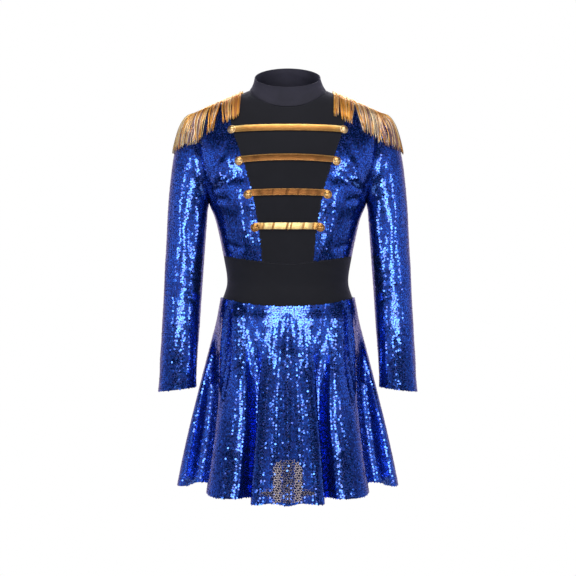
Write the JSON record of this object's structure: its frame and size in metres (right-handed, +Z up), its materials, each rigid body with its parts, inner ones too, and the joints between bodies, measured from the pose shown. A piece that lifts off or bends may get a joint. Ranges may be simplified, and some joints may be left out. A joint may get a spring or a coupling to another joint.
{
  "type": "circus leotard costume",
  "caption": "Skirted leotard with long sleeves and a mock neck: blue sequins, black knit front panel and midriff, gold fringe epaulettes, gold ribbon bars with domed buttons.",
  "frame": {"origin": "midway between the shoulders, level with the points where the shoulder seams meet the collar, where the wearer's shoulders hold it up", "axes": "+Z up, the front faces -Y, +X is the wearer's left"},
  "size_m": [0.513, 0.3443, 0.8572],
  "materials": {
    "black_knit": "smooth matt black stretch knit",
    "blue_sequin": "royal blue sequins on stretch mesh",
    "gold_foil": "gold foil stretch ribbon",
    "gold_button": "gold-coloured domed button, satin",
    "gold_fringe": "gold twisted rayon bullion fringe"
  },
  "bodies": {
    "root": {"front_panel": "black_knit", "collar": "black_knit", "band_front": "black_knit", "band_back": "black_knit", "brief_front": "black_knit", "brief_back": "black_knit", "front_side_left": "blue_sequin", "front_side_right": "blue_sequin", "back": "blue_sequin", "sleeve_left": "blue_sequin", "sleeve_right": "blue_sequin", "skirt_front": "blue_sequin", "skirt_back": "blue_sequin", "epaulette_left": "gold_fringe", "epaulette_right": "gold_fringe", "bar_1": "gold_foil", "button_1_left": "gold_button", "button_1_right": "gold_button", "bar_2": "gold_foil", "button_2_left": "gold_button", "button_2_right": "gold_button", "bar_3": "gold_foil", "button_3_left": "gold_button", "button_3_right": "gold_button", "bar_4": "gold_foil", "button_4_left": "gold_button", "button_4_right": "gold_button"}
  },
  "joints": []
}
